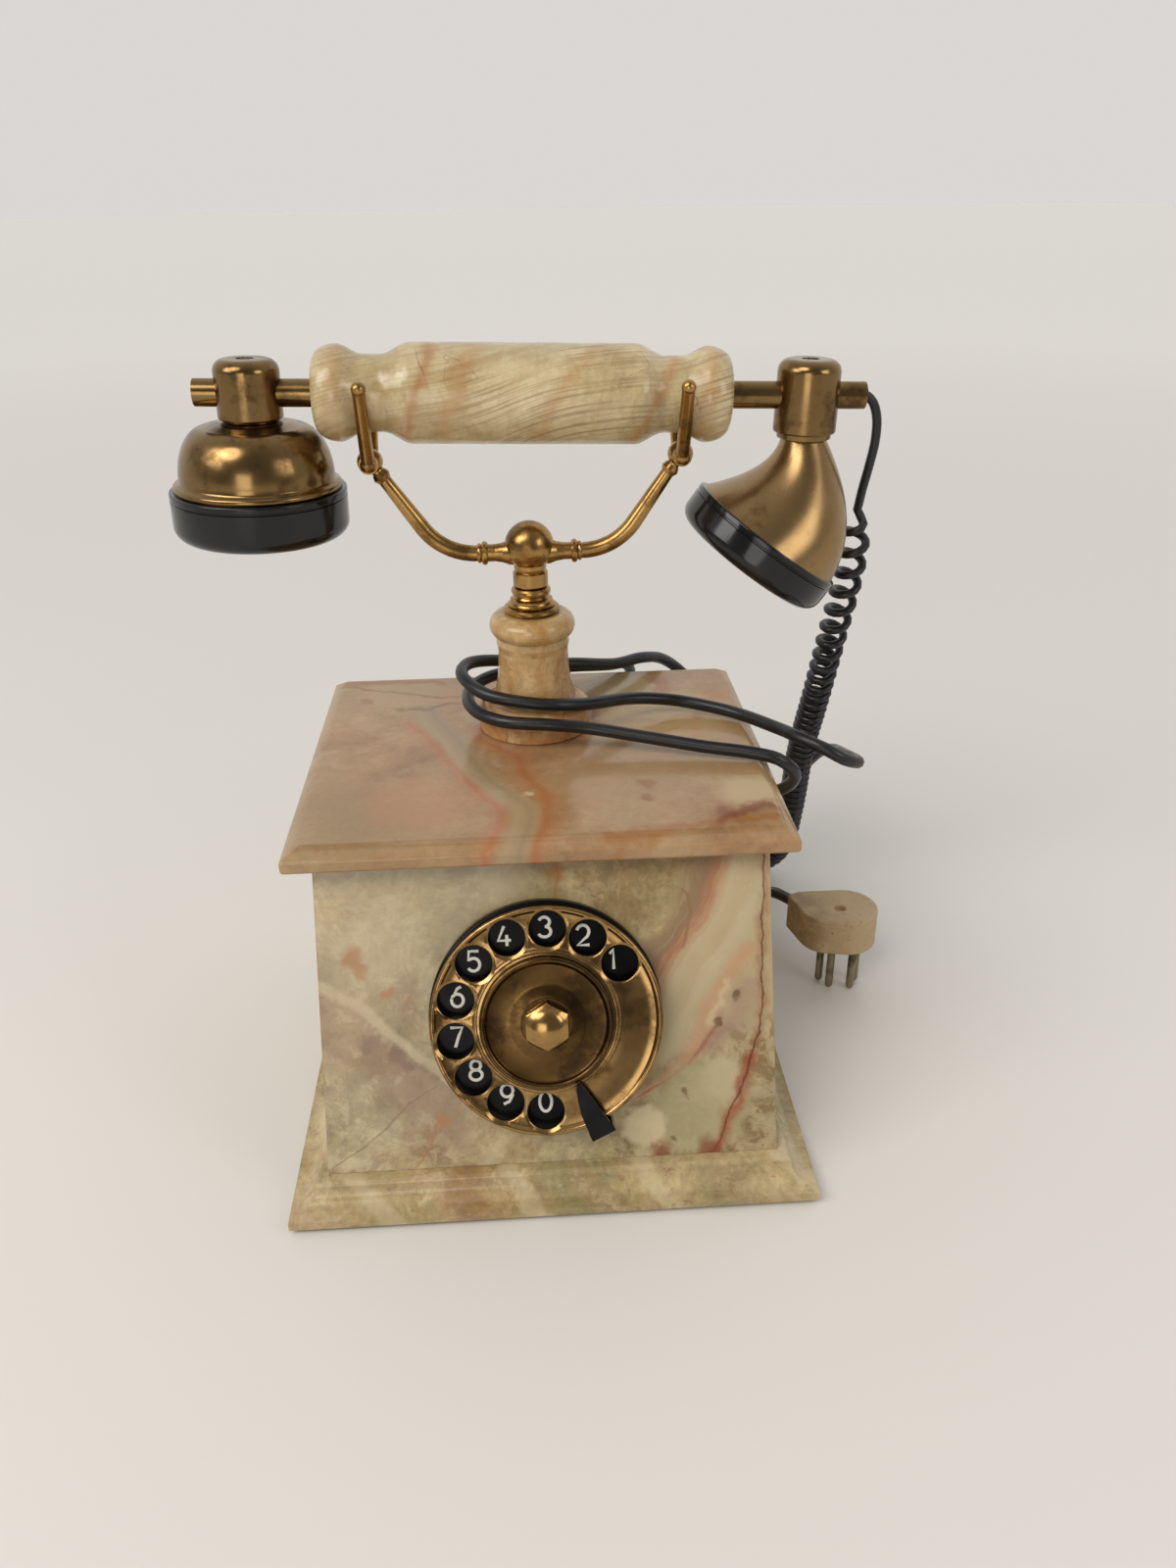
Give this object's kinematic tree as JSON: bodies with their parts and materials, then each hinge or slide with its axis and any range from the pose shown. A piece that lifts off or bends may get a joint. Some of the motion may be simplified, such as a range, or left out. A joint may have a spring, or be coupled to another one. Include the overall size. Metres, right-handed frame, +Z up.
{
  "type": "rotary telephone",
  "caption": "Table telephone in veined onyx and brass with a rotary dial, a stone-handled handset on a forked cradle, and its cords.",
  "frame": {"origin": "middle of the underside of the felt under the plinth, where the telephone rests", "axes": "+X to the right as a caller faces the dial, +Y to the back, +Z up"},
  "size_m": [0.2634, 0.2869, 0.2589],
  "materials": {
    "onyx_green": "polished cream-green onyx with brown veins and pink bands",
    "onyx_rose": "polished rose and brown onyx with grey swirls",
    "onyx_cream": "polished cream onyx",
    "onyx_handle": "polished pale green onyx with fine brown lines",
    "felt": "matt felt",
    "steel": "brushed",
    "brass": "satin, slightly aged",
    "dark_brass": "satin, tarnished olive brown",
    "wheel_brass": "satin, warm and worn",
    "black_enamel": "glossy black enamel",
    "bakelite": "glossy black bakelite",
    "phenolic": "brown paper laminate",
    "copper_wire": "enamelled copper wire",
    "tin_plate": "tin plate",
    "cord_rubber": "semi-gloss black cord sheath",
    "ivory_plastic": "old ivory plastic with brown specks",
    "pin_brass": "dull plated brass"
  },
  "bodies": {
    "base": {"plinth": "onyx_green", "front_panel": "onyx_green", "left_panel": "onyx_green", "right_panel": "onyx_green", "rear_panel": "onyx_green", "top_lid": "onyx_rose", "pillar": "onyx_cream", "base_felt": "felt", "bottom_plate": "steel", "base_screws": "steel", "pillar_tube": "brass", "tube_nut": "steel", "pillar_cap": "brass", "hook_spring": "steel", "hook_bracket": "steel", "hook_contacts": "phenolic", "number_plate": "black_enamel", "dial_frame": "steel", "governor_cup": "dark_brass", "return_spring": "steel", "pulse_contacts": "phenolic", "finger_stop": "bakelite", "ringer_frame": "steel", "ringer_coils": "copper_wire", "left_gong": "brass", "right_gong": "brass", "induction_coil": "copper_wire", "capacitor": "tin_plate", "terminal_block": "phenolic", "handset_coil": "cord_rubber", "handset_gland": "cord_rubber", "line_gland": "cord_rubber", "line_cord": "cord_rubber", "plug_body": "ivory_plastic", "plug_pins": "pin_brass"},
    "handset": {"handle": "onyx_handle", "handset_rod": "dark_brass", "ear_boss": "dark_brass", "ear_shell": "dark_brass", "ear_cap": "bakelite", "receiver_capsule": "tin_plate", "mouth_boss": "dark_brass", "mouth_shell": "brass", "mouth_cap": "bakelite", "microphone_capsule": "tin_plate", "boss_screws": "dark_brass", "cord_bush": "cord_rubber", "handset_lead": "cord_rubber"},
    "cradle": {"cradle_ball": "brass", "left_arm": "brass", "right_arm": "brass", "plunger_rod": "steel"},
    "hook_lever": {"hook_lever": "brass"},
    "dial": {"finger_wheel": "wheel_brass", "hub_disc": "dark_brass", "hub_nut": "brass", "dial_shaft": "steel", "drive_gear": "brass"},
    "governor": {"governor": "steel"},
    "clapper": {"clapper": "steel"}
  },
  "joints": [
    {"name": "handset_lift", "type": "slide", "parent": "base", "child": "handset", "axis": [0.1191, 0, 0.9929], "range_m": [0, 0.1]},
    {"name": "cradle_rise", "type": "slide", "parent": "base", "child": "cradle", "axis": [0, 0, 1], "range_m": [0, 0.005], "deforming": ["hook_spring"]},
    {"name": "hook_lever_tilt", "type": "hinge", "parent": "base", "child": "hook_lever", "pos_m": [0, 0.0665, 0.0689], "axis": [-1, 0, 0], "range_deg": [0, 11]},
    {"name": "dial_turn", "type": "hinge", "parent": "base", "child": "dial", "pos_m": [-0.001, -0.06549, 0.06033], "axis": [0, 0.9205, -0.3907], "range_deg": [0, 315], "stiffness_Nm_per_rad": 0.02},
    {"name": "governor_spin", "type": "hinge", "parent": "base", "child": "governor", "pos_m": [-0.02222, -0.0423, 0.06379], "axis": [0, 0.9205, -0.3907], "range_deg": [-1890, 0]},
    {"name": "clapper_swing", "type": "hinge", "parent": "base", "child": "clapper", "pos_m": [0, -0.008, 0.0344], "axis": [0, 0, 1], "range_deg": [-1.5, 1.5]}
  ],
  "couplings": [
    {"joint": "cradle_rise", "follows": "handset_lift", "ratio": 0.05},
    {"joint": "hook_lever_tilt", "follows": "handset_lift", "rad_per_m": 1.75},
    {"joint": "governor_spin", "follows": "dial_turn", "ratio": -6}
  ]
}
